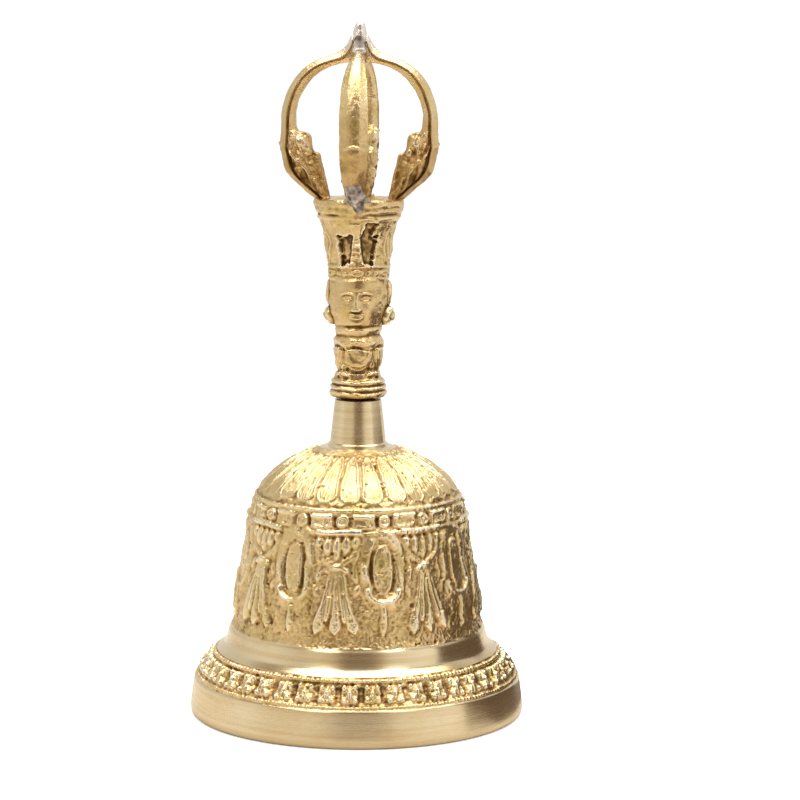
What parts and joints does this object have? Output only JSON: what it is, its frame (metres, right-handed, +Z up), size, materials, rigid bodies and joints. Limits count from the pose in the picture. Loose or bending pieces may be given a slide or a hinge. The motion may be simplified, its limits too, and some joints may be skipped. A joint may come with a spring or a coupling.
{
  "type": "hand bell",
  "caption": "Brass hand bell with a flaring relief-cast cup, ferrule, cast figure handle, four-prong vajra cage and a clapper hung inside on a link.",
  "frame": {"origin": "centre of the lip's resting plane, on the bell's axis", "axes": "+Z up the bell's axis to the point of the cage; -Y to the front, where the handle's face looks; the side prongs lie along X"},
  "size_m": [0.082, 0.082, 0.169],
  "materials": {
    "cup_brass": "cast relief with bright turned bands",
    "ferrule_brass": "brushed",
    "cast_brass": "as cast, wire brushed",
    "solder": "tin solder, lumpy and dull",
    "steel": "plain steel, slightly dull",
    "bob_brass": "turned"
  },
  "bodies": {
    "bell": {"bell_cup": "cup_brass", "neck_ferrule": "ferrule_brass", "handle_body": "cast_brass", "prong_left": "cast_brass", "prong_right": "cast_brass", "prong_front": "cast_brass", "prong_back": "cast_brass", "vajra_tip": "cast_brass", "solder_front": "solder", "solder_back": "solder", "solder_tip_front": "solder", "solder_tip_back": "solder", "eye_bolt": "steel", "crown_washer": "steel", "hex_nut": "steel"},
    "link": {"clapper_link": "steel"},
    "clapper": {"clapper_rod": "steel", "clapper_bob": "bob_brass"}
  },
  "joints": [
    {"name": "link_swing", "type": "hinge", "parent": "bell", "child": "link", "pos_m": [0, 0, 0.04655], "axis": [1, 0, 0], "range_deg": [-29, 29]},
    {"name": "clapper_swing", "type": "hinge", "parent": "link", "child": "clapper", "pos_m": [0, 0, 0.03905], "axis": [0, 1, 0], "range_deg": [-35, 35]}
  ]
}
